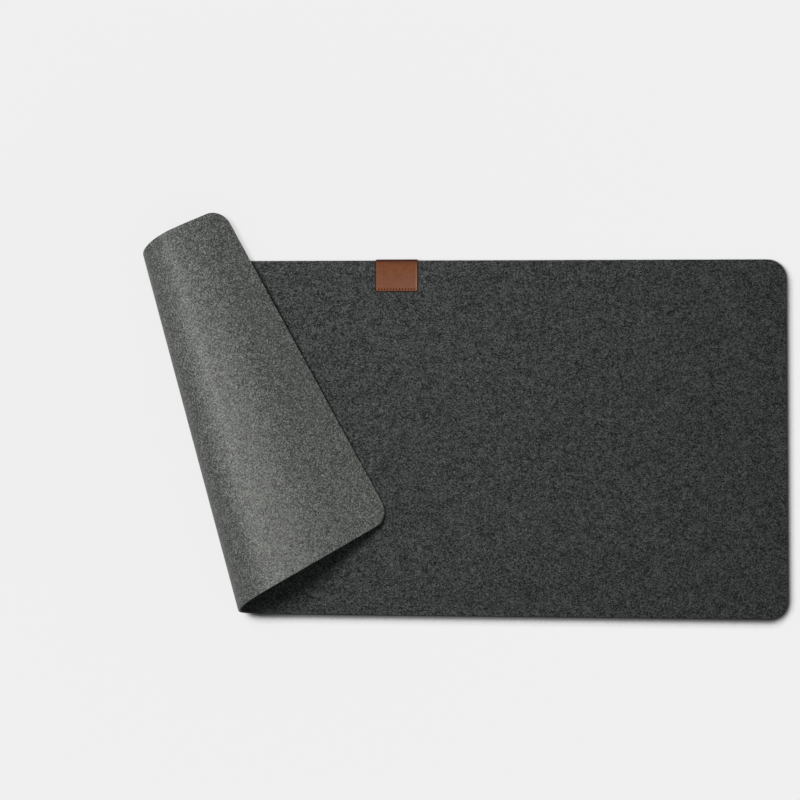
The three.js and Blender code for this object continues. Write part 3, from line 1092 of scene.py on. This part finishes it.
def draw_ply(name, ply, height, upwards):
    """One ply of the first stitch: a helix along an arch from hole to hole."""
    curve = bpy.data.curves.new(name, "CURVE")
    curve.dimensions = "3D"
    curve.bevel_depth = PLY_RADIUS
    curve.bevel_resolution = PLY_ROUNDNESS
    curve.use_fill_caps = True
    spline = curve.splines.new("POLY")
    spline.points.add(STITCH_POINTS - 1)
    for number, point in enumerate(spline.points):
        along = number / (STITCH_POINTS - 1)
        turn = 2 * math.pi * (TWISTS * along + ply / PLIES)
        arch = height - upwards * STITCH_DIP * abs(2 * along - 1) ** STITCH_STEEPNESS
        point.co = (hole_x[0] + hole_pitch * (STITCH_START + STITCH_SPAN * along),
                    hole_y + TWIST_RADIUS * math.cos(turn), arch + TWIST_RADIUS * math.sin(turn), 1)
    return put_in_scene(name, curve)


def stitch_row(name, height, upwards):
    """A row of stitches from hole to hole, arching upwards (1) or downwards (-1) from a height."""
    bpy.ops.object.select_all(action="DESELECT")
    plies = [draw_ply(name, ply, height, upwards) for ply in range(PLIES)]
    for ply in plies:
        ply.select_set(True)
    first = plies[0]
    bpy.context.view_layer.objects.active = first
    bpy.ops.object.convert(target="MESH")
    bpy.ops.object.join()
    merge_points(TOUCH)
    for number in range(1, HOLES - 1):
        mesh = first.data.copy()
        mesh.transform(Matrix.Translation((hole_pitch * number, 0, 0)))
        put_in_scene(name, mesh).select_set(True)
    bpy.ops.object.join()
    bpy.ops.object.shade_smooth()
    first.name = name
    return first


thread_reach = PLY_RADIUS + TWIST_RADIUS
front_row = stitch_row("front_stitches", tag_high.z - SEAM_DEPTH + THREAD_PROUD * thread_reach, 1)
back_row = stitch_row("back_stitches", tag_low.z - thread_reach, -1)
print("stitches:", 2 * (HOLES - 1), "of", PLIES, "plies each")

# %% [markdown]
# ## Leather finish
#
# The leather is a satin brown with a fine pebble grain, uneven in tone and faintly streaked along the
# tag. Noise gives the tone and the streaks. The pebbles could be noise too, but Voronoi cells look more
# like the closed islands of real grain. The marks are then mixed in one by one, each with its colour.

# %% Leather
TONE_SIZE, TONE_TURN = (7 * MM, 5 * MM, 5 * MM), 20
STREAK_SIZE, STREAK_TURN = (14 * MM, 1.2 * MM, 1.2 * MM), 4
PEBBLE_SIZE = (0.9 * MM,) * 3
PEBBLE_GROOVE, GROOVE_SHARE = 0.22, 0.35
LEATHER_GLOSS = 0.11
LEATHER_BUMP, LEATHER_BUMP_HEIGHT = 0.6, 0.12 * MM
BROWN_DARK, BROWN_PALE = (0.152, 0.043, 0.008, 1), (0.218, 0.068, 0.018, 1)
BROWN_STREAK, BROWN_GROOVE = (0.115, 0.034, 0.009, 1), (0.09, 0.03, 0.014, 1)
# colours of the painted shade on the fold and in the dents, of the painted highlight on the edges, and of
# the other marks
MARK_TONES = {"low": (0.35, (0.235, 0.115, 0.09, 1)),
              "painted_edge_highlight": (0.85, (0.33, 0.195, 0.138, 1)),
              "painted_fold_shade": (0.95, (0.036, 0.006, 0.002, 1)),
              "seam": (0.5, (0.27, 0.068, 0.010, 1)),
              "dent": (1.0, (0.085, 0.012, 0.0005, 1)),
              "cut": (0.9, (0.030, 0.010, 0.006, 1))}

leather, tree = new_material("tag_leather")
place = add_node(tree, "ShaderNodeTexCoord").outputs["Object"]
tone = stretched_noise(tree, place, TONE_SIZE, TONE_TURN, detail=3.0, distortion=0.5)
streak = stretched_noise(tree, place, STREAK_SIZE, STREAK_TURN, detail=3.0, distortion=0.6)
shade = add_mix(tree, add_range(tree, tone, 0.3, 0.7), BROWN_DARK, BROWN_PALE)
shade = add_mix(tree, add_range(tree, streak, 0.45, 0.75, 0.0, 0.35), shade, BROWN_STREAK)
grain_place = add_node(tree, "ShaderNodeMapping", vector_type="TEXTURE", Vector=place, Scale=PEBBLE_SIZE)
grain = add_node(tree, "ShaderNodeTexVoronoi", feature="DISTANCE_TO_EDGE", Scale=1.0, Randomness=0.9,
                 Vector=grain_place.outputs["Vector"])
pebble = add_range(tree, grain.outputs["Distance"], 0.0, PEBBLE_GROOVE)
groove = add_math(tree, "MULTIPLY", add_math(tree, "SUBTRACT", 1.0, pebble), GROOVE_SHARE)
shade = add_mix(tree, groove, shade, BROWN_GROOVE)
for name, (amount, colour) in MARK_TONES.items():
    shade = add_mix(tree, add_math(tree, "MULTIPLY", add_attribute(tree, name), amount), shade, colour)
add_surface(tree, pebble, LEATHER_BUMP, LEATHER_BUMP_HEIGHT, Base_Color=shade,
            Roughness=add_range(tree, tone, 0.3, 0.7, 0.42, 0.58), Specular_IOR_Level=LEATHER_GLOSS)
tag.data.materials.append(leather)
print("leather with", len(MARK_TONES), "marks")

# %% [markdown]
# ## Thread finish
#
# The thread is brown like the leather, with fine lint across its plies. Down in the holes it is hardly
# lit, so it gets darker towards the middle of the felt. That could be baked from the light; here it is
# read from the height in Object coordinates, which holds in any light.

# %% Thread
LINT_SIZE, LINT_TURN = (0.8 * MM, 0.1 * MM, 0.1 * MM), 25
LINT_BUMP, LINT_BUMP_HEIGHT = 0.4, 0.05 * MM
THREAD_ROUGHNESS, THREAD_SHEEN = 0.6, 0.1
THREAD_DARK, THREAD_PALE = (0.13, 0.042, 0.020, 1), (0.26, 0.093, 0.046, 1)
THREAD_SUNK = (0.02, 0.005, 0.002, 1)
SUNK_DEPTH = 0.6 * MM

thread, tree = new_material("stitch_thread")
place = add_node(tree, "ShaderNodeTexCoord").outputs["Object"]
lint = stretched_noise(tree, place, LINT_SIZE, LINT_TURN, distortion=0.2)
shade = add_mix(tree, add_range(tree, lint, 0.3, 0.7), THREAD_DARK, THREAD_PALE)
height = add_node(tree, "ShaderNodeSeparateXYZ", Vector=place).outputs["Z"]
from_middle = add_math(tree, "ABSOLUTE", add_math(tree, "SUBTRACT", height, fold_height), 0.0)
half_tag = (tag_high.z - tag_low.z) / 2
raised = add_range(tree, from_middle, half_tag - SUNK_DEPTH, half_tag)
add_surface(tree, lint, LINT_BUMP, LINT_BUMP_HEIGHT, Base_Color=add_mix(tree, raised, THREAD_SUNK, shade),
            Roughness=THREAD_ROUGHNESS, Sheen_Weight=THREAD_SHEEN)
for row in (front_row, back_row):
    row.data.materials.append(thread)
print("thread for", len(front_row.data.polygons) + len(back_row.data.polygons), "faces")

# %% [markdown]
# ## What the tag follows
#
# The tag and its stitches lie on the flat part of the pad and don't bend, so they ride on the pad's
# body, with no zone to blend.

# %% Bodies of the tag
for piece, node, slot in ((tag, "leather_tag", "tag_leather"),
                          (front_row, "needle_thread", "stitch_thread"),
                          (back_row, "bobbin_thread", "stitch_thread")):
    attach(piece, "pad")
    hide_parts(node)
